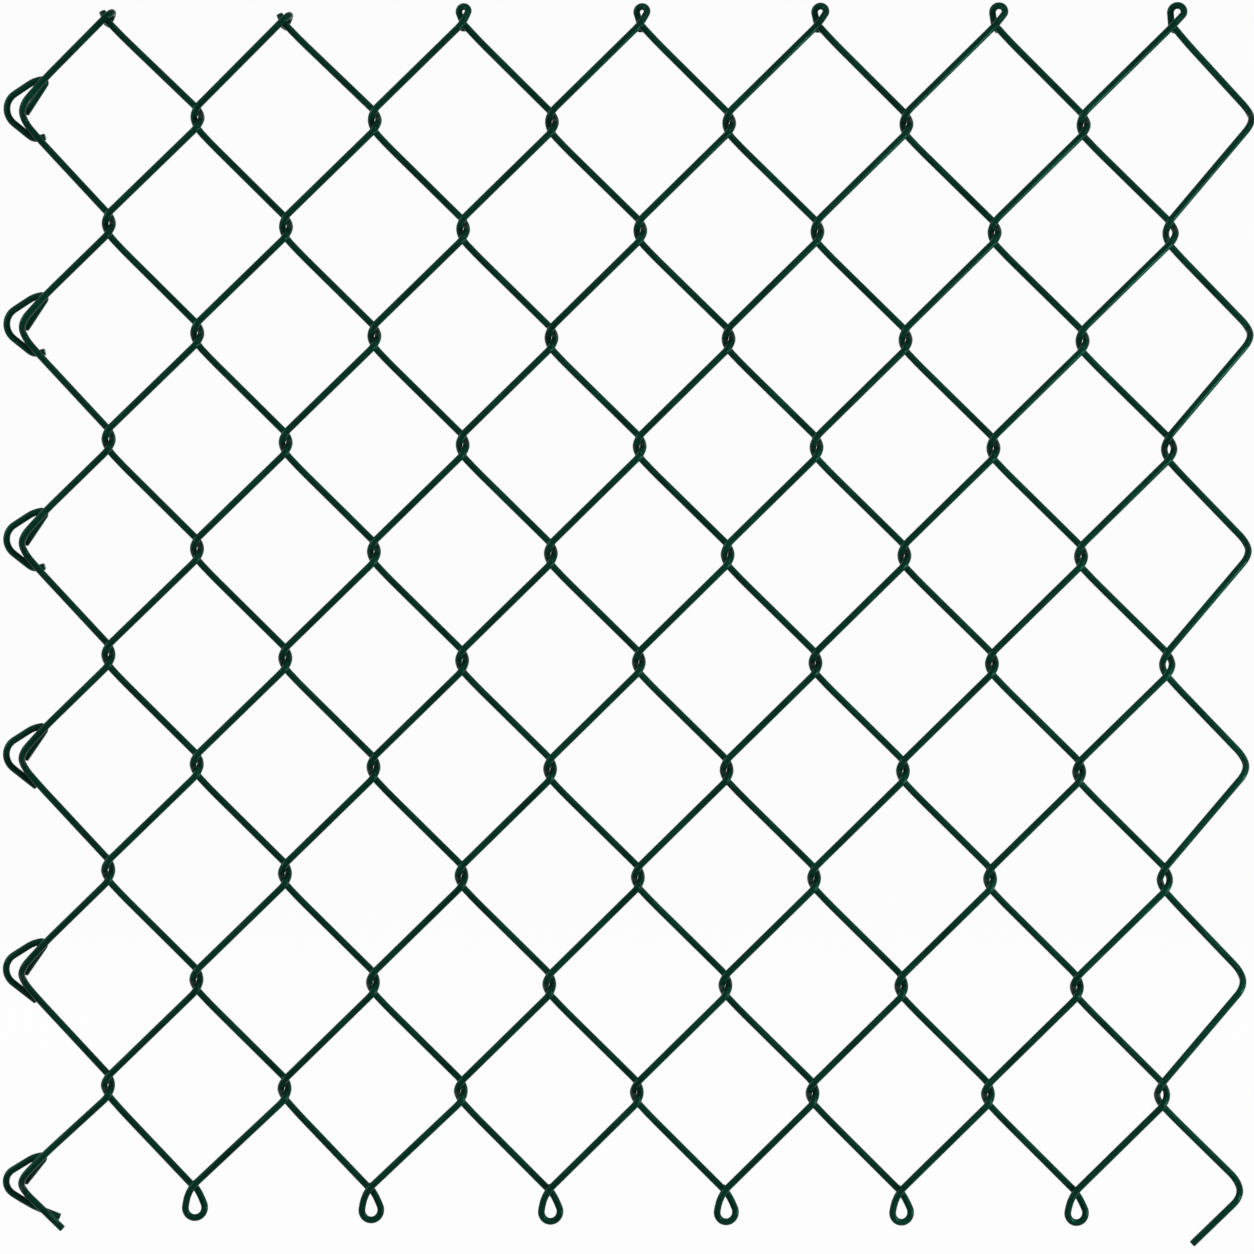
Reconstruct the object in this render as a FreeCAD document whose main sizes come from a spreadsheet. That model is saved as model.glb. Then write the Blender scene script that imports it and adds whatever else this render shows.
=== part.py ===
import FreeCAD, Part
import math
import os

# Cut sample of green PVC-coated chain link fence, in millimetres.
# X runs to the right along the fence, Y runs away from the viewer, Z runs up.
# The origin is on the left-hand edge, at ground level, in the middle of the depth.

SIZES = {
    "wire_diameter": (2.5, "outside of the PVC coat"),
    "column_pitch": (31.8, "sideways step from one column of links to the next"),
    "half_turn": (38.7, "height gained by a picket in half a turn"),
    "layer_depth": (6.0, "front limbs to back limbs, between centre lines"),
    "link_drop": (4.74, "height between the two corners of a bend"),
    "weave_clearance": (0.1, "air between two wires that hook together"),
    "ground_height": (15.8, "height of the bottom row of knuckles"),
    "limb_ease": (2.2, "steepening of a back limb below a left bend, in degrees"),
    "ease_run": (8.0, "length of the steeper part"),
    "row_lift": (2.16, "rise of the rows at the left-hand edge"),
    "lift_reach": (224.0, "width over which the rows rise"),
    "foot_draw": (3.2, "lower right-hand corner drawn in"),
    "left_draw": (2.1, "outer bends of the first picket drawn in"),
    "left_lift": (0.6, "outer bends of the first picket lifted"),
    "clip_pinch": (3.4, "steepening of a front limb above a clip, in degrees"),
    "pinch_run": (11.0, "length of the pinched part"),
    "right_draw": (4.75, "outer bends of the last picket drawn in"),
    "right_lift": (2.36, "outer bends of the last picket lifted"),
    "right_slack": (0.8, "last picket hanging loose in its neighbour"),
    "end_lift": (2.0, "bend above a cut end sprung up"),
    "left_tail": (19.8, "cut end of the first picket, from its last bend"),
    "right_tail": (24.3, "cut end of the last picket, from its last bend"),
    "top_loop_radius": (1.7, "centre line of the first open top knuckle"),
    "top_loop_rise": (6.2, "the same knuckle, crossing to far end of the centre line"),
    "radius_growth": (0.07, "wider top knuckles to the right, for each picket"),
    "rise_growth": (0.18, "taller top knuckles to the right, for each picket"),
    "tilt_growth": (2.2, "top knuckles leaning over to the right, degrees for each picket"),
    "bottom_loop_radius": (3.0, "centre line of a bottom knuckle"),
    "bottom_loop_rise": (11.6, "bottom knuckle, crossing to far end of the centre line"),
    "bottom_loop_tilt": (3.0, "bottom knuckle swung to the right, in degrees"),
    "fold_length": (3.4, "knuckle folded straight back, from its crossing"),
    "knuckle_tail": (2.0, "end of a knuckle past its crossing"),
    "tail_set": (0.3, "tip of that end bent away from its neighbour"),
    "knuckle_shift": (1.2, "knuckles near the left-hand edge set to the left"),
    "knuckle_slack": (0.34, "more air on each side of a held end"),
    "prong_angle": (66.0, "lean of a held end from the level, in degrees"),
    "prong_length": (0.4, "end that is held inside a knuckle"),
    "long_prong": (3.0, "end that stands up beside a folded knuckle"),
    "clip_tilt": (14.6, "lean of an edge clip, in degrees"),
    "clip_setback": (3.6, "edge clip behind the middle of the depth"),
}

PICKETS = 14
BENDS = 10
LOOP_CORNERS = 4
FIRST_LOOP = 5
LAST_FOOT = 9
SHORTEST_RUN = 0.001

# Corners of an edge clip in its own plane, measured from the bend that it hangs on.
HOOK = ((0.7, 0.5), (9.3, 13.0), (4.3, 12.3), (-10.6, 2.6))
LOW_HOOK = ((0.7, 0.5), (9.0, 11.2), (4.3, 10.4), (-10.6, 0.8))
HOOKED_ARM = ((3.2, -8.9), (7.2, -7.9))
SHORT_ARM = ((4.2, -10.0),)
LONG_ARM = ((3.0, -8.8), (12.6, -13.0))
HOOKED_CLIP = HOOK + HOOKED_ARM
SHORT_CLIP = HOOK + SHORT_ARM
LOW_CLIP = LOW_HOOK + LONG_ARM
CLIPS = (HOOKED_CLIP, HOOKED_CLIP, HOOKED_CLIP, SHORT_CLIP, SHORT_CLIP, LOW_CLIP)

doc = FreeCAD.newDocument("ChainLinkPanel")
sheet = doc.addObject("Spreadsheet::Sheet", "Sizes")
for row, (alias, (value, note)) in enumerate(SIZES.items(), start=1):
    sheet.set(f"A{row}", alias)
    sheet.set(f"B{row}", str(value))
    sheet.set(f"C{row}", note)
    sheet.setAlias(f"B{row}", alias)
doc.recompute()


def size(alias):
    return float(sheet.get(alias))


WIRE = size("wire_diameter")
PITCH = size("column_pitch")
HALF = size("half_turn")
DEPTH = size("layer_depth") / 2
DROP = size("link_drop") / 2
TOUCH = WIRE + size("weave_clearance")
REACH = TOUCH / 2
LOW = size("ground_height")
HIGH = LOW + (BENDS + 1) * HALF
LIMB = math.atan((HALF - 2 * DROP) / (PITCH + 2 * REACH))
CROSSING = HIGH - DROP - math.tan(LIMB) * REACH
HELD = TOUCH + size("knuckle_slack") - DEPTH
BACK = TOUCH + size("knuckle_slack") + HELD


def rounded_path(points):
    """Straight runs joined by arcs, each as round as its two runs allow."""
    edges = []
    here = points[0]
    for before, corner, after in zip(points, points[1:], points[2:]):
        back = (before - corner).normalize()
        ahead = (after - corner).normalize()
        trim = min((before - corner).Length, (after - corner).Length) / 2
        half_angle = back.getAngle(ahead) / 2
        radius = trim * math.tan(half_angle)
        middle = (back + ahead).normalize()
        start = corner + back * trim
        end = corner + ahead * trim
        crown = corner + middle * (radius / math.sin(half_angle) - radius)
        if (start - here).Length > SHORTEST_RUN:
            edges.append(Part.LineSegment(here, start).toShape())
            here = start
        edges.append(Part.Arc(here, crown, end).toShape())
        here = end
    edges.append(Part.LineSegment(here, points[-1]).toShape())
    return Part.Wire(edges)


def swung(vector, degrees):
    """A vector turned in the plane of the sheet, clockwise as the viewer sees it."""
    return FreeCAD.Rotation(FreeCAD.Vector(0, 1, 0), degrees).multVec(vector)


def turned(points):
    """The same end of a wire at the bottom: half a turn about the Y axis."""
    return [FreeCAD.Vector(PITCH - p.x, p.y, LOW + HIGH - p.z) for p in reversed(points)]


def bend(number, on_right, height):
    """Two corners of a bend, going up: left bends come forward, right bends go back."""
    x = PITCH + REACH if on_right else -REACH
    enters = -DEPTH if on_right else DEPTH
    if number == 1 and not on_right:
        x += size("left_draw")
        height += size("left_lift")
    if number == PICKETS and on_right:
        x -= size("right_draw")
        height += size("right_lift")
    if number == PICKETS and not on_right:
        x -= size("right_slack")
    return [FreeCAD.Vector(x, enters, height - DROP), FreeCAD.Vector(x, -enters, height + DROP)]


def loop_sizes(radius, rise):
    """Half angle of a knuckle at its crossing, and the wire length round it."""
    lean = math.asin(radius / (rise - radius))
    return lean, 2 * radius / math.tan(lean) + radius * (math.pi + 2 * lean)


def loop_end(radius, rise, tilt, tail_angle):
    """Wire end curled once round its neighbour, going from the front to the back."""
    lean, length = loop_sizes(radius, rise)
    step = (math.pi + 2 * lean) / LOOP_CORNERS
    out = radius / math.cos(step / 2)
    front = FreeCAD.Vector(PITCH, -DEPTH, CROSSING)
    back = FreeCAD.Vector(PITCH, BACK, CROSSING)
    points = [front]
    for count in range(LOOP_CORNERS):
        angle = step * (count + 0.5)
        travelled = radius / math.tan(lean) + radius * angle
        corner = FreeCAD.Vector(
            out * math.cos(angle - lean),
            (BACK + DEPTH) * travelled / length,
            rise - radius + out * math.sin(angle - lean))
        points.append(front + swung(corner, tilt))
    tail = swung(FreeCAD.Vector(size("knuckle_tail"), size("tail_set"), 0), tail_angle)
    return points + [back, back + tail]


def folded_end():
    """Wire end folded straight back over its neighbour."""
    front = FreeCAD.Vector(PITCH, -DEPTH, CROSSING)
    fold = swung(FreeCAD.Vector(size("fold_length"), 0, 0), -math.degrees(LIMB))
    across = FreeCAD.Vector(0, BACK + DEPTH, 0)
    tail = FreeCAD.Vector(0, 0, -size("knuckle_tail"))
    return [front + fold, front + fold + across, front + across + tail]


def prong_end(prong):
    """Straight end held in its neighbour's knuckle."""
    held = FreeCAD.Vector(0, HELD, CROSSING)
    return [held, held + swung(FreeCAD.Vector(-prong, 0, 0), size("prong_angle"))]


def cut_end(number, on_right, tail):
    """Last bend at the bottom and the cut end below it, in line with the limbs above."""
    corners = bend(number, on_right, LOW + size("end_lift"))
    above = bend(number, not on_right, LOW + HALF)
    limb = (above[0] - corners[1]).normalize()
    return [corners[0] + FreeCAD.Vector(limb.x, 0, -limb.z) * tail] + corners


def set_over(points):
    """The same end of a wire with its knuckle set to the left."""
    return [point - FreeCAD.Vector(size("knuckle_shift"), 0, 0) for point in points]


def top_end(number):
    """Folded knuckles on the left, then loops that open out and lean over to the right."""
    if number < FIRST_LOOP:
        return set_over(folded_end() if number % 2 == 1 else prong_end(size("long_prong")))
    if number % 2 == 0:
        return prong_end(size("prong_length"))
    grown = number - FIRST_LOOP
    return loop_end(
        size("top_loop_radius") + grown * size("radius_growth"),
        size("top_loop_rise") + grown * size("rise_growth"),
        grown * size("tilt_growth"),
        90 if number <= LAST_FOOT else math.degrees(LIMB))


def bottom_end(number):
    """Loops and held ends, and a plain cut end on the first and the last picket."""
    if number == 1:
        return cut_end(number, False, size("left_tail"))
    if number == PICKETS:
        return cut_end(number, True, size("right_tail"))
    knuckle = prong_end(size("prong_length"))
    if number % 2 == 1:
        knuckle = loop_end(
            size("bottom_loop_radius"),
            size("bottom_loop_rise"),
            -size("bottom_loop_tilt"),
            math.degrees(LIMB))
    return set_over(turned(knuckle)) if number <= FIRST_LOOP else turned(knuckle)


def settling(point):
    """How far the sheet has moved there: rows rise to the left, and the foot draws in to the right."""
    lift = size("row_lift") * max(1 - point.x / size("lift_reach"), 0) ** 2
    draw = size("foot_draw") * (point.x / (PICKETS * PITCH)) ** 2 * max(1 - point.z / HIGH, 0) ** 2
    return FreeCAD.Vector(-draw, 0, lift)


def picket_points(number):
    """Corners of a picket from its bottom end to its top end, measured from its own column."""
    odd = number % 2 == 1
    column = FreeCAD.Vector(PITCH * (number - 1), 0, 0)
    stages = [bend(number, odd == (count % 2 == 1), LOW + count * HALF) for count in range(1, BENDS + 1)]
    stages.append(top_end(number))
    bottom = bottom_end(number)
    points = [point + settling(bottom[-1] + column) for point in bottom]
    for stage in stages:
        stage = [point + settling(stage[0] + column) for point in stage]
        limb = (stage[0] - points[-1]).normalize()
        if limb.x < 0:
            points.append(stage[0] + swung(-limb, size("limb_ease")) * size("ease_run"))
        elif number == 1:
            points.append(points[-1] + swung(limb, -size("clip_pinch")) * size("pinch_run"))
        points += stage
    return points


def clip_points(number):
    """Corners of an edge clip in its own plane, from its inner end to its outer arm."""
    return [FreeCAD.Vector(x, 0, z) for x, z in CLIPS[number - 1]]


def bent_wire(name, points):
    """Round wire swept along a rounded path."""
    path = doc.addObject("Part::Feature", name + "_path")
    path.Shape = rounded_path(points)
    section = doc.addObject("Part::Circle", name + "_section")
    section.setExpression("Radius", "Sizes.wire_diameter / 2")
    start = FreeCAD.Vector(0, 0, 1)
    section.Placement = FreeCAD.Placement(points[0], FreeCAD.Rotation(start, points[1] - points[0]))
    wire = doc.addObject("Part::Sweep", name)
    wire.Sections = [section]
    wire.Spine = (path, [f"Edge{i + 1}" for i in range(len(path.Shape.Edges))])
    wire.Solid = True
    wire.Frenet = False
    wire.Label = name
    return wire


wires = []
for number in range(1, PICKETS + 1):
    picket = bent_wire(f"picket_{number:02d}", picket_points(number))
    picket.setExpression("Placement.Base.x", f"Sizes.column_pitch * {number - 1}")
    wires.append(picket)
for number in range(1, len(CLIPS) + 1):
    clip = bent_wire(f"edge_clip_{number}", clip_points(number))
    turns = len(CLIPS) - number
    clip.setExpression(
        "Placement.Base.x", "Sizes.left_draw - (Sizes.wire_diameter + Sizes.weave_clearance) / 2")
    clip.setExpression("Placement.Base.y", "Sizes.clip_setback")
    clip.setExpression(
        "Placement.Base.z",
        f"Sizes.ground_height + Sizes.half_turn * {2 * turns} + Sizes.left_lift + Sizes.row_lift"
        + (" + Sizes.end_lift" if turns == 0 else ""))
    clip.setExpression("Placement.Rotation.Axis.x", "1")
    clip.setExpression("Placement.Rotation.Axis.z", "0")
    clip.setExpression("Placement.Rotation.Angle", "Sizes.clip_tilt")
    wires.append(clip)
doc.recompute()

os.makedirs("parts", exist_ok=True)
for wire in wires:
    if "Invalid" in wire.State or "Error" in wire.State:
        raise RuntimeError(f"{wire.Label} could not be built")
    if wire.Shape.isNull() or not wire.Shape.isValid():
        raise RuntimeError(f"{wire.Label} has no valid shape")
    wire.Shape.exportStep(f"parts/{wire.Label}.step")
    length = wire.Spine[0].Shape.Length
    swept = wire.Shape.Volume / (math.pi * (WIRE / 2) ** 2 * length)
    print(f"{wire.Label}: {length:.1f} mm of wire, {len(wire.Shape.Faces)} faces, "
          f"volume {swept:.4f} of section x length")
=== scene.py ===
# %% [markdown]
# # A chain link fence panel
# Chain link is woven from upright wires called pickets. Each picket is a flat spiral, and each spiral
# hooks into the next one, so the whole sheet is held together by nothing but bends.
# This lesson loads the solid model as a measured frame and bends every wire again in Blender, with round
# bends, cut ends that show the steel core, and a PVC coat.

# %% Load the frame
import math

import bmesh
import bpy
from mathutils import Matrix, Vector


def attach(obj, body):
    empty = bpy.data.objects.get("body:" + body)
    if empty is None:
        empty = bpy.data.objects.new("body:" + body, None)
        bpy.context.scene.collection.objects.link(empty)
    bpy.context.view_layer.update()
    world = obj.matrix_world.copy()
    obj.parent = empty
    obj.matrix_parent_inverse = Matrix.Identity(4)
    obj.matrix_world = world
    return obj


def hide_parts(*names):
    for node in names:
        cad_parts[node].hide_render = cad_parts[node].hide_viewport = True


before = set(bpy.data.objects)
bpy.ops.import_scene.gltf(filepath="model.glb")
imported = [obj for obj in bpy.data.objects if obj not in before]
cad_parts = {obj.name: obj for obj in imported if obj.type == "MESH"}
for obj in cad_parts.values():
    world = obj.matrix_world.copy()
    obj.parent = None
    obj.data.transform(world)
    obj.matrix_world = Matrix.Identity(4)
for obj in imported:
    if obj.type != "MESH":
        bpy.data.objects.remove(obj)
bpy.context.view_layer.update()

print("nodes in the frame:", len(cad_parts))

# %% [markdown]
# The sizes are those of the solid model, and only the knuckles at the bottom are rounded out a little
# more. A mesh is described by a few numbers: the wire, the sideways step from one column of links to the
# next, the height that a spiral gains in half a turn, and the depth between the limbs in front and the
# limbs behind. Blender works in metres, so millimetres are multiplied by MM.

# %% Sizes of the mesh
MM = 0.001
WIRE = 2.5 * MM
CORE = 1.7 * MM
PITCH = 31.8 * MM
HALF = 38.7 * MM
DEPTH = 6.0 * MM / 2
DROP = 4.74 * MM / 2
TOUCH = WIRE + 0.1 * MM
LOW = 15.8 * MM

PICKETS = 14
BENDS = 10
REACH = TOUCH / 2
HIGH = LOW + (BENDS + 1) * HALF
LIMB = math.atan((HALF - 2 * DROP) / (PITCH + 2 * REACH))
CROSSING = HIGH - DROP - math.tan(LIMB) * REACH
print(f"limb angle {math.degrees(LIMB):.1f} degrees")

# %% [markdown]
# A wire could be a curve with a round bevel, but then its cut ends are hard to shape. A bending machine
# works with two moves, and so do these helpers: one feeds a straight length, which is an extrude, and the
# other bends it about a former, which is a spin. Every ring of the wire also carries its own grain: where
# a point lies round the wire, and how far along it. The finish uses that to run its marks along the wire
# through every bend.

# %% Two moves of a bending machine
SIDES = 24
BEND_STEP = math.radians(8)
GRAIN = "wire_grain"


def only_edges(geom):
    return [item for item in geom if isinstance(item, bmesh.types.BMEdge)]


def only_verts(geom):
    return [item for item in geom if isinstance(item, bmesh.types.BMVert)]


def start_wire(bm, place, heading):
    """First ring of a wire, with its grain."""
    grain = bm.verts.layers.float_vector.new(GRAIN)
    turn = heading.to_track_quat("Z", "Y").to_matrix().to_4x4()
    circle = bmesh.ops.create_circle(
        bm, segments=SIDES, radius=WIRE / 2, matrix=Matrix.Translation(place) @ turn)
    for vert in circle["verts"]:
        vert[grain] = turn.inverted() @ (vert.co - place) / (WIRE / 2)
    return list({edge for vert in circle["verts"] for edge in vert.link_edges})


def mark_length(bm, ring, length):
    """Write on a ring how far along the wire it lies."""
    grain = bm.verts.layers.float_vector[GRAIN]
    for vert in {vert for edge in ring for vert in edge.verts}:
        vert[grain] = Vector((vert[grain][0], vert[grain][1], length))


def feed(bm, ring, move, length):
    """Push the open end of the wire straight on."""
    fresh = bmesh.ops.extrude_edge_only(bm, edges=ring)["geom"]
    verts = set(only_verts(fresh))
    bmesh.ops.translate(bm, verts=list(verts), vec=move)
    ring = [edge for edge in only_edges(fresh) if set(edge.verts) <= verts]
    mark_length(bm, ring, length)
    return ring


def swing(bm, ring, former, axis, angle, radius, length):
    """Bend the open end of the wire about a former, a few degrees at a time."""
    steps = max(2, math.ceil(angle / BEND_STEP))
    for count in range(1, steps + 1):
        turned_on = bmesh.ops.spin(bm, geom=ring, cent=former, axis=axis, angle=angle / steps, steps=1)
        ring = only_edges(turned_on["geom_last"])
        mark_length(bm, ring, length + radius * angle * count / steps)
    return ring


print(f"{SIDES} sides round a wire, and a ring every {math.degrees(BEND_STEP):.0f} degrees of a bend")

# %% [markdown]
# A route is a list of corners, and each corner gets an arc as round as its two runs allow.

# %% Bend a wire along a route
SHORTEST_RUN = 0.001 * MM


def bent_wire(corners):
    """A round tube along a route, open at both ends. Gives the mesh and its two end rings."""
    bm = bmesh.new()
    first = start_wire(bm, corners[0], (corners[1] - corners[0]).normalized())
    ring = first
    here = corners[0]
    length = 0.0
    for before, corner, after in zip(corners, corners[1:], corners[2:]):
        trim = min((before - corner).length, (after - corner).length) / 2
        inward = (corner - before).normalized()
        outward = (after - corner).normalized()
        angle = inward.angle(outward)
        begin = corner - inward * trim
        former = corner + (outward - inward).normalized() * (trim / math.sin(angle / 2))
        radius = trim / math.tan(angle / 2)
        run = (begin - here).length
        if run > SHORTEST_RUN:
            length += run
            ring = feed(bm, ring, begin - here, length)
        ring = swing(bm, ring, former, inward.cross(outward).normalized(), angle, radius, length)
        length += radius * angle
        here = corner + outward * trim
    length += (corners[-1] - here).length
    ring = feed(bm, ring, corners[-1] - here, length)
    return bm, first, ring


print(f"runs under {SHORTEST_RUN / MM} mm are left out")

# %% [markdown]
# A side cutter leaves a flat end with a steel core inside the green coat. The end is filled, its rim is
# rounded, and two insets give the coat its thickness and let the core stand a hair proud.

# %% Close the cut ends
RIM = 0.2 * MM
RIM_HEIGHT = 0.6 * RIM
PROUD = 0.12 * MM
CORE_EDGE = 0.03 * MM


def close_end(bm, ring):
    """Fill an end ring, round its rim and mark the steel core."""
    face = bmesh.ops.contextual_create(bm, geom=ring)["faces"][0]
    bmesh.ops.recalc_face_normals(bm, faces=bm.faces)
    bmesh.ops.inset_region(bm, faces=[face], thickness=RIM, depth=RIM_HEIGHT)
    bmesh.ops.inset_region(bm, faces=[face], thickness=(WIRE - CORE) / 2 - RIM, depth=0)
    step = bmesh.ops.inset_region(bm, faces=[face], thickness=CORE_EDGE, depth=PROUD)
    for core in [face] + step["faces"]:
        core.material_index = 1


def finished_wire(name, corners, finishes):
    """One wire as an object, with its faces outward and its coat smooth."""
    bm, first, last = bent_wire(corners)
    close_end(bm, first)
    close_end(bm, last)
    bmesh.ops.recalc_face_normals(bm, faces=bm.faces)
    for face in bm.faces:
        face.smooth = face.material_index == 0
    mesh = bpy.data.meshes.new(name)
    bm.to_mesh(mesh)
    bm.free()
    wire = bpy.data.objects.new(name, mesh)
    bpy.context.scene.collection.objects.link(wire)
    for finish in finishes:
        mesh.materials.append(finish)
    return wire


print(f"coat {(WIRE - CORE) / 2 / MM:.1f} mm thick")

# %% [markdown]
# Colours are written as the eye sees them, in sRGB, and turned to linear values in one place. A second
# helper adds a shader node with its settings and its links.

# %% Helpers for the finishes


def linear(hex_colour):
    """An sRGB hex colour as linear values."""
    channels = [int(hex_colour[i:i + 2], 16) / 255 for i in (1, 3, 5)]
    return [c / 12.92 if c <= 0.04045 else ((c + 0.055) / 1.055) ** 2.4 for c in channels] + [1.0]


def add(tree, kind, settings=None, **links):
    """Add a node, set its properties and inputs, and link the inputs that are sockets."""
    node = tree.nodes.new(kind)
    for key, value in (settings or {}).items():
        setattr(node, key, value)
    for key, value in links.items():
        socket = node.inputs[int(key[1:])] if key[0] == "_" else node.inputs[key.replace("_", " ")]
        if isinstance(value, bpy.types.NodeSocket):
            tree.links.new(value, socket)
        else:
            socket.default_value = value
    return node


def new_finish(name):
    finish = bpy.data.materials.new(name)
    finish.use_nodes = True
    return finish, finish.node_tree, finish.node_tree.nodes["Principled BSDF"]


print("mid grey in linear light:", round(linear("#808080")[0], 3))

# %% [markdown]
# The coat is soft PVC, drawn over the wire through a die while it is hot. It has a soft gloss, and the
# die leaves fine lines along the wire. Weaving rubs the coat here and there, which makes it duller and a
# little paler. The lines follow the grain of each wire, and the cloudy parts use object coordinates.
# Sizes round the wire are in wire radii, and the others are lengths.

# %% PVC coat
DIE_LINE = 0.2
DIE_RUN = 14 * MM
DIE_DEPTH = 0.04 * MM
RUB_ROUND = 1.1
RUB_RUN = 7 * MM
RUB_SHARE = 0.3
CLOUD = 14 * MM
PVC_IOR = 1.53


def grain_noise(tree, grain, round_size, run_size, detail):
    """Noise stretched along the wire: a size round the wire, in wire radii, and a length along it."""
    scale = (1 / round_size, 1 / round_size, 1 / run_size)
    stretched = add(tree, "ShaderNodeVectorMath", {"operation": "MULTIPLY"}, _0=grain, _1=scale)
    noise = add(tree, "ShaderNodeTexNoise", Vector=stretched.outputs[0], Scale=1.0, Detail=detail)
    return noise.outputs["Fac"]


def pvc_coat():
    """PVC coat, moss green: dark, with a soft gloss, die lines along the wire and dull rubbed patches."""
    finish, tree, shader = new_finish("PVC-coated steel wire, moss green")
    place = add(tree, "ShaderNodeTexCoord").outputs["Object"]
    grain = add(tree, "ShaderNodeAttribute", {"attribute_name": GRAIN}).outputs["Vector"]
    cloud = add(tree, "ShaderNodeTexNoise", Vector=place, Scale=1 / CLOUD, Detail=3.0)
    colour = add(tree, "ShaderNodeValToRGB", Fac=cloud.outputs["Fac"])
    colour.color_ramp.elements[0].position = 0.3
    colour.color_ramp.elements[0].color = linear("#022017")
    colour.color_ramp.elements[1].position = 0.7
    colour.color_ramp.elements[1].color = linear("#053425")
    lines = grain_noise(tree, grain, DIE_LINE, DIE_RUN, 2.0)
    rubs = grain_noise(tree, grain, RUB_ROUND, RUB_RUN, 4.0)
    rubbed = add(tree, "ShaderNodeMapRange", Value=rubs, From_Min=0.56, From_Max=0.74).outputs["Result"]
    worn = add(tree, "ShaderNodeMath", {"operation": "MULTIPLY"}, _0=rubbed, _1=RUB_SHARE)
    tint = add(
        tree, "ShaderNodeMix", {"data_type": "RGBA"},
        _0=worn.outputs[0], _6=colour.outputs["Color"], _7=linear("#174a38"))
    tree.links.new(tint.outputs[2], shader.inputs["Base Color"])
    gloss = add(tree, "ShaderNodeMapRange", Value=rubbed, To_Min=0.22, To_Max=0.4)
    tree.links.new(gloss.outputs["Result"], shader.inputs["Roughness"])
    bump = add(tree, "ShaderNodeBump", Strength=0.3, Distance=DIE_DEPTH, Height=lines)
    tree.links.new(bump.outputs["Normal"], shader.inputs["Normal"])
    shader.inputs["IOR"].default_value = PVC_IOR
    shader.inputs["Specular IOR Level"].default_value = 0.1
    shader.inputs["Specular Tint"].default_value = linear("#50ffc0")
    return finish


COAT = pvc_coat()
print("finish:", COAT.name)

# %% [markdown]
# The core shows only in the cut ends, where the cutter has left small marks on a grey face.

# %% Steel core
CUTTER_MARK = 0.3 * MM
MARK_DEPTH = 0.05 * MM


def steel_core():
    """Galvanised steel, sheared: a grey face with the marks of the cutter."""
    finish, tree, shader = new_finish("Galvanised steel core, sheared")
    place = add(tree, "ShaderNodeTexCoord").outputs["Object"]
    marks = add(tree, "ShaderNodeTexNoise", Vector=place, Scale=1 / CUTTER_MARK, Detail=3.0)
    colour = add(tree, "ShaderNodeValToRGB", Fac=marks.outputs["Fac"])
    colour.color_ramp.elements[0].color = linear("#70746f")
    colour.color_ramp.elements[1].color = linear("#a6aaa6")
    tree.links.new(colour.outputs["Color"], shader.inputs["Base Color"])
    bump = add(tree, "ShaderNodeBump", Strength=0.4, Distance=MARK_DEPTH, Height=marks.outputs["Fac"])
    tree.links.new(bump.outputs["Normal"], shader.inputs["Normal"])
    shader.inputs["Metallic"].default_value = 1.0
    shader.inputs["Roughness"].default_value = 0.42
    return finish


WIRE_FINISHES = (COAT, steel_core())
print("finish:", WIRE_FINISHES[1].name)

# %% [markdown]
# A picket is a right-handed spiral pressed flat: its front limbs rise to the right, its back limbs rise
# to the left, and at each edge it turns round a corner from one layer to the other. Two corners make a
# bend. The outer bends of the first and the last picket hang free, so they have drawn in and sprung up a
# little.

# %% Bends of a picket
LEFT_DRAW = 2.1 * MM
LEFT_LIFT = 0.6 * MM
RIGHT_DRAW = 4.75 * MM
RIGHT_LIFT = 2.36 * MM
RIGHT_SLACK = 0.8 * MM


def bend(number, on_right, height):
    """Two corners of a bend, going up: left bends come forward, right bends go back."""
    x = PITCH + REACH if on_right else -REACH
    enters = -DEPTH if on_right else DEPTH
    if number == 1 and not on_right:
        x += LEFT_DRAW
        height += LEFT_LIFT
    if number == PICKETS and on_right:
        x -= RIGHT_DRAW
        height += RIGHT_LIFT
    if number == PICKETS and not on_right:
        x -= RIGHT_SLACK
    return [Vector((x, enters, height - DROP)), Vector((x, -enters, height + DROP))]


def swung(vector, angle):
    """A vector turned in the plane of the sheet, clockwise as the viewer sees it."""
    return Matrix.Rotation(angle, 3, "Y") @ vector


print("depth of a bend:", (bend(2, True, LOW)[1] - bend(2, True, LOW)[0]).y / MM, "mm")

# %% [markdown]
# At the top and bottom the wires are knuckled: one end is curled once round its neighbour, and the
# neighbour's end stops inside the curl. The curl climbs from the front layer to the back as it goes
# round, so the two wires never meet. The first two knuckles at the top are folded straight back instead,
# with the neighbour's end standing up beside them.

# %% Knuckles
LOOP_CORNERS = 4
KNUCKLE_TAIL = 2.0 * MM
TAIL_SET = 0.3 * MM
FOLD = 3.4 * MM
PRONG_ANGLE = math.radians(66)
PRONG = 0.4 * MM
LONG_PRONG = 3.0 * MM
SLACK = 0.34 * MM
HELD = TOUCH + SLACK - DEPTH
BACK = TOUCH + SLACK + HELD


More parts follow.
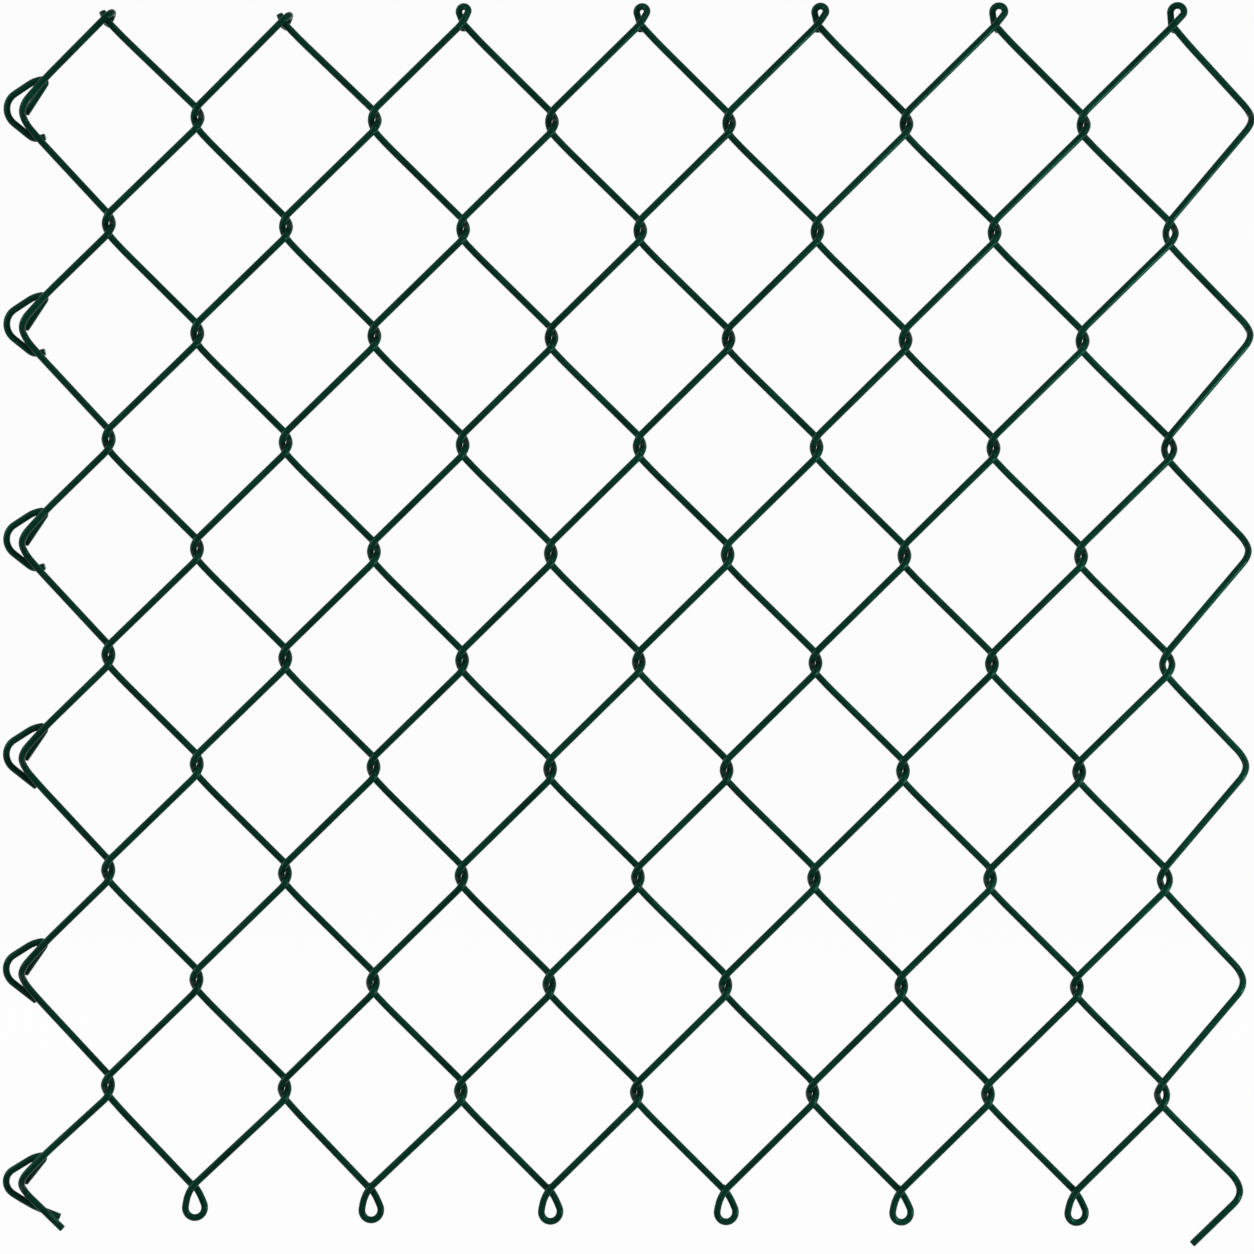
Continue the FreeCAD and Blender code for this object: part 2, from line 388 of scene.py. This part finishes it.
def loop_end(radius, rise, tilt, tail, tail_angle, swell=()):
    """Wire end curled once round its neighbour, going from the front to the back."""
    lean = math.asin(radius / (rise - radius))
    side = radius / math.tan(lean)
    length = 2 * side + radius * (math.pi + 2 * lean)
    step = (math.pi + 2 * lean) / LOOP_CORNERS
    out = radius / math.cos(step / 2)
    front = Vector((PITCH, -DEPTH, CROSSING))
    back = Vector((PITCH, BACK, CROSSING))

    def corner(x, run, z):
        """Corner of the curl, as deep as the wire has run by then."""
        return front + swung(Vector((x, (BACK + DEPTH) * run / length, z)), tilt)

    ring = []
    for count in range(LOOP_CORNERS):
        angle = step * (count + 0.5)
        height = rise - radius + out * math.sin(angle - lean)
        ring.append(corner(out * math.cos(angle - lean), side + radius * angle, height))
    if swell:
        near, far, height = swell
        run = math.hypot(near, height)
        ring = [corner(near, run, height)] + ring + [corner(-far, length - run, height)]
    return [front] + ring + [back, back + swung(Vector((tail, TAIL_SET, 0)), tail_angle)]


def folded_end():
    """Wire end folded straight back over its neighbour."""
    front = Vector((PITCH, -DEPTH, CROSSING))
    fold = swung(Vector((FOLD, 0, 0)), -LIMB)
    across = Vector((0, BACK + DEPTH, 0))
    return [front + fold, front + fold + across, front + across - Vector((0, 0, KNUCKLE_TAIL))]


def prong_end(prong):
    """Straight end held in its neighbour's knuckle."""
    held = Vector((0, HELD, CROSSING))
    return [held, held + swung(Vector((-prong, 0, 0)), PRONG_ANGLE)]


print("corners of a folded knuckle:", len(folded_end()))

# %% [markdown]
# The top knuckles open out and lean over towards the right, and those near the left-hand edge sit a
# little to the left of their columns. The bottom ones are larger, and swell at their two sides at one
# height. The first and the last picket have lost their outer neighbours, so they finish in a plain cut
# end at the bottom.

# %% Ends of a picket
END_LIFT = 2.0 * MM
LEFT_TAIL = 19.8 * MM
RIGHT_TAIL = 24.3 * MM
FIRST_LOOP = 5
LAST_FOOT = 9
SET_OVER = Vector((1.2 * MM, 0, 0))
TOP_RADIUS = 1.7 * MM
RADIUS_STEP = 0.07 * MM
TOP_RISE = 6.2 * MM
RISE_STEP = 0.18 * MM
TILT_STEP = math.radians(2.2)
LOW_RADIUS = 3.25 * MM
LOW_RISE = 11.6 * MM
LOW_TILT = math.radians(-6)
LOW_TAIL = 0.8 * MM
LOW_SWELL = (2.2 * MM, 2.0 * MM, 3.5 * MM)


def cut_end(number, on_right, tail):
    """Last bend at the bottom and the cut end below it, in line with the limbs above."""
    corners = bend(number, on_right, LOW + END_LIFT)
    limb = (bend(number, not on_right, LOW + HALF)[0] - corners[1]).normalized()
    return [corners[0] + Vector((limb.x, 0, -limb.z)) * tail] + corners


def top_end(number):
    """Folded knuckles on the left, then loops that open out to the right."""
    odd = number % 2 == 1
    if number < FIRST_LOOP:
        return [point - SET_OVER for point in (folded_end() if odd else prong_end(LONG_PRONG))]
    if not odd:
        return prong_end(PRONG)
    grown = number - FIRST_LOOP
    tail_angle = math.pi / 2 if number <= LAST_FOOT else LIMB
    radius = TOP_RADIUS + RADIUS_STEP * grown
    rise = TOP_RISE + RISE_STEP * grown
    return loop_end(radius, rise, TILT_STEP * grown, KNUCKLE_TAIL, tail_angle)


def bottom_end(number):
    """The same ends turned half round, and a cut end on the first and the last picket."""
    if number == 1:
        return cut_end(number, False, LEFT_TAIL)
    if number == PICKETS:
        return cut_end(number, True, RIGHT_TAIL)
    odd = number % 2 == 1
    loop = loop_end(LOW_RADIUS, LOW_RISE, LOW_TILT, LOW_TAIL, LIMB, LOW_SWELL)
    knuckle = loop if odd else prong_end(PRONG)
    points = [Vector((PITCH - p.x, p.y, LOW + HIGH - p.z)) for p in reversed(knuckle)]
    return [point - SET_OVER for point in points] if number <= FIRST_LOOP else points


print("corners of a bottom knuckle:", len(bottom_end(3)))

# %% [markdown]
# A cut piece of mesh no longer hangs quite true: the rows rise towards the left and the lower right-hand
# corner has drawn in. The limbs are not quite straight either: the back ones steepen just below a left
# bend, and the first picket's front ones where the clips pinch them.

# %% Weave the pickets
LIMB_EASE = math.radians(2.2)
EASE_RUN = 8 * MM
CLIP_PINCH = math.radians(3.4)
PINCH_RUN = 11 * MM
ROW_LIFT = 2.16 * MM
LIFT_REACH = 224 * MM
FOOT_DRAW = 3.2 * MM


def settling(point):
    """How far the sheet has moved at a point."""
    lift = ROW_LIFT * max(1 - point.x / LIFT_REACH, 0) ** 2
    draw = FOOT_DRAW * (point.x / (PICKETS * PITCH)) ** 2 * max(1 - point.z / HIGH, 0) ** 2
    return Vector((-draw, 0, lift))


def picket_route(number):
    """Corners of a picket from its bottom end to its top end, in its place in the sheet."""
    odd = number % 2 == 1
    column = Vector((PITCH * (number - 1), 0, 0))
    stages = [bend(number, odd == (count % 2 == 1), LOW + count * HALF) for count in range(1, BENDS + 1)]
    bottom = bottom_end(number)
    points = [point + settling(bottom[-1] + column) for point in bottom]
    for stage in stages + [top_end(number)]:
        stage = [point + settling(stage[0] + column) for point in stage]
        limb = (stage[0] - points[-1]).normalized()
        if limb.x < 0:
            points.append(stage[0] + swung(-limb, LIMB_EASE) * EASE_RUN)
        elif number == 1:
            points.append(points[-1] + swung(limb, -CLIP_PINCH) * PINCH_RUN)
        points += stage
    return [point + column for point in points]


def place_wire(node, route):
    """Bend a wire and let it stand for its solid in the frame."""
    wire = finished_wire(node + "_wire", route, WIRE_FINISHES)
    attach(wire, "root")
    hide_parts(node)
    return wire


for number in range(1, PICKETS + 1):
    picket = place_wire(f"picket_{number:02d}", picket_route(number))
    print(picket.name, len(picket.data.polygons), "faces")

# %% [markdown]
# A clip hangs on each outer bend of the left-hand edge. It is a short flat-bent wire that lies against
# the back of the bend, so it is drawn in its own plane, in millimetres across and up, and then leaned
# until it clears the limb in front and the limb behind. The upper three have a small hook on the lower
# arm, and the lowest has a longer arm.

# %% Hang the edge clips
CLIP_TILT = math.radians(14.6)
CLIP_SETBACK = 3.6 * MM
HOOK = ((0.7, 0.5), (9.3, 13.0), (4.3, 12.3), (-10.6, 2.6))
HOOKED_CLIP = HOOK + ((3.2, -8.9), (7.2, -7.9))
SHORT_CLIP = HOOK + ((4.2, -10.0),)
LOW_CLIP = ((0.7, 0.5), (9.0, 11.2), (4.3, 10.4), (-10.6, 0.8), (3.0, -8.8), (12.6, -13.0))
CLIPS = (HOOKED_CLIP, HOOKED_CLIP, HOOKED_CLIP, SHORT_CLIP, SHORT_CLIP, LOW_CLIP)

for number, outline in enumerate(CLIPS, start=1):
    turns = len(CLIPS) - number
    height = LOW + 2 * HALF * turns + LEFT_LIFT + ROW_LIFT + (END_LIFT if turns == 0 else 0)
    hang = Matrix.Translation((LEFT_DRAW - REACH, CLIP_SETBACK, height))
    lean = hang @ Matrix.Rotation(CLIP_TILT, 4, "X")
    clip = place_wire(f"edge_clip_{number}", [lean @ Vector((x * MM, 0, z * MM)) for x, z in outline])
    print(clip.name, len(clip.data.polygons), "faces")

# %% [markdown]
# The sheet stands on a white floor that curves up into a white wall. Only the camera and reflections see
# it as pure white; the lamps still shade it, so the floor keeps the shadow of the sheet.

# %% Floor and backdrop
FLOOR_HALF_WIDTH = 4.0
FLOOR_FRONT = -4.0
WALL_AT = 2.0
COVE = 0.8
WALL_TOP = 4.0
WHITE_SHARE = 0.97


def seen_rays(tree):
    """One for the rays that show something to the eye, straight, mirrored or through glass."""
    rays = add(tree, "ShaderNodeLightPath").outputs
    seen = rays["Is Camera Ray"]
    for other in (rays["Is Glossy Ray"], rays["Is Transmission Ray"]):
        seen = add(tree, "ShaderNodeMath", {"operation": "MAXIMUM"}, _0=seen, _1=other).outputs[0]
    return seen


def paper():
    """White background paper: matt, and white to the eye wherever no shadow falls."""
    finish, tree, shader = new_finish("White background paper")
    output = tree.nodes["Material Output"]
    shader.inputs["Base Color"].default_value = linear("#c4c4c4")
    shader.inputs["Roughness"].default_value = 0.9
    share = add(tree, "ShaderNodeMath", {"operation": "MULTIPLY"}, _0=seen_rays(tree), _1=WHITE_SHARE)
    white = add(tree, "ShaderNodeEmission", Color=(1, 1, 1, 1), Strength=1.0)
    mix = add(tree, "ShaderNodeMixShader", _0=share.outputs[0], _1=shader.outputs[0], _2=white.outputs[0])
    tree.links.new(mix.outputs[0], output.inputs["Surface"])
    return finish


bm = bmesh.new()
edge = bmesh.ops.create_vert(bm, co=(-FLOOR_HALF_WIDTH, FLOOR_FRONT, 0))["vert"]
line = bmesh.ops.extrude_vert_indiv(bm, verts=edge)
bmesh.ops.translate(bm, verts=line["verts"], vec=(0, WALL_AT - COVE - FLOOR_FRONT, 0))
arc = bmesh.ops.spin(
    bm, geom=line["verts"], cent=(0, WALL_AT - COVE, COVE), axis=(1, 0, 0), angle=math.pi / 2, steps=16)
top = bmesh.ops.extrude_vert_indiv(bm, verts=only_verts(arc["geom_last"]))
bmesh.ops.translate(bm, verts=top["verts"], vec=(0, 0, WALL_TOP - COVE))
sheet = bmesh.ops.extrude_edge_only(bm, edges=bm.edges[:])
bmesh.ops.translate(bm, verts=only_verts(sheet["geom"]), vec=(2 * FLOOR_HALF_WIDTH, 0, 0))
for face in bm.faces:
    face.smooth = True
floor_mesh = bpy.data.meshes.new("studio_paper")
bm.to_mesh(floor_mesh)
bm.free()
floor = bpy.data.objects.new("studio_paper", floor_mesh)
floor.data.materials.append(paper())
bpy.context.scene.collection.objects.link(floor)
print("floor faces", len(floor_mesh.polygons))

# %% [markdown]
# A soft box stands on each side, well round towards the plane of the sheet, so every round wire is lit
# along its flanks and stays darker in the middle. The right one is small, low and close, so the light
# falls off to the upper left. Two raised strips lie along the two slopes of the limbs and draw a line of
# light on each limb. Two more light the back, without shine, so they draw no bright lines along the edges
# of the wires. The world is white to the eye, and fills the shade a little.

# %% Light
AIM = Vector((218.1 * MM, 0, 221.8 * MM))
FILL = 0.03

scene = bpy.context.scene
world = bpy.data.worlds.new("Studio")
scene.world = world
world.use_nodes = True
tree = world.node_tree
sky = tree.nodes["Background"]
sky.inputs["Color"].default_value = (1, 1, 1, 1)
strength = add(tree, "ShaderNodeMapRange", Value=seen_rays(tree), To_Min=FILL, To_Max=WHITE_SHARE)
tree.links.new(strength.outputs["Result"], sky.inputs["Strength"])


def soft_box(name, place, size, power, along=(0, 0, 1)):
    """A soft box that faces the middle of the sheet, with its height along a given direction."""
    lamp = bpy.data.lights.new(name, "AREA")
    lamp.shape = "RECTANGLE"
    lamp.size, lamp.size_y = size
    lamp.energy = power
    holder = bpy.data.objects.new(name, lamp)
    holder.location = place
    away = (Vector(place) - AIM).normalized()
    across = Vector(along).cross(away).normalized()
    holder.rotation_euler = Matrix((across, away.cross(across), away)).transposed().to_euler()
    scene.collection.objects.link(holder)
    return holder


soft_box("left soft box", (-1.3, -0.5, 0.45), (0.25, 0.8), 9)
soft_box("right soft box", (0.84, -0.3, 0.09), (0.3, 0.14), 3.2)
soft_box("raised left strip", (-0.54, -0.9, 0.98), (0.08, 1.2), 4, along=(1, 0, 1))
soft_box("raised right strip", (0.97, -0.9, 0.98), (0.08, 1.2), 4.5, along=(-1, 0, 1))
for name, x in (("back left soft box", -0.6), ("back right soft box", 1.05)):
    soft_box(name, (x, 0.75, 0.4), (0.5, 0.6), 6).visible_glossy = False

# %% [markdown]
# The photograph is taken almost square on, from a little above, and from far enough away that the rows
# stay parallel. A long lens does the same here.

# %% Camera
FRAME_WIDTH = 450.5 * MM
LENS = 104
SENSOR = 36
ROLL = math.radians(-0.125)
LOOK_DOWN = math.radians(0.48)

camera_data = bpy.data.cameras.new("Camera")
camera_data.lens = LENS
camera_data.sensor_width = SENSOR
camera = bpy.data.objects.new("Camera", camera_data)
distance = FRAME_WIDTH * LENS / SENSOR
camera.matrix_world = (
    Matrix.Translation(AIM) @ Matrix.Rotation(-LOOK_DOWN, 4, "X") @ Matrix.Rotation(ROLL, 4, "Y")
    @ Matrix.Translation((0, -distance, 0)) @ Matrix.Rotation(math.pi / 2, 4, "X"))
scene.collection.objects.link(camera)
scene.camera = camera
scene.view_settings.view_transform = "Standard"
print(f"camera {distance:.2f} m in front of the sheet")
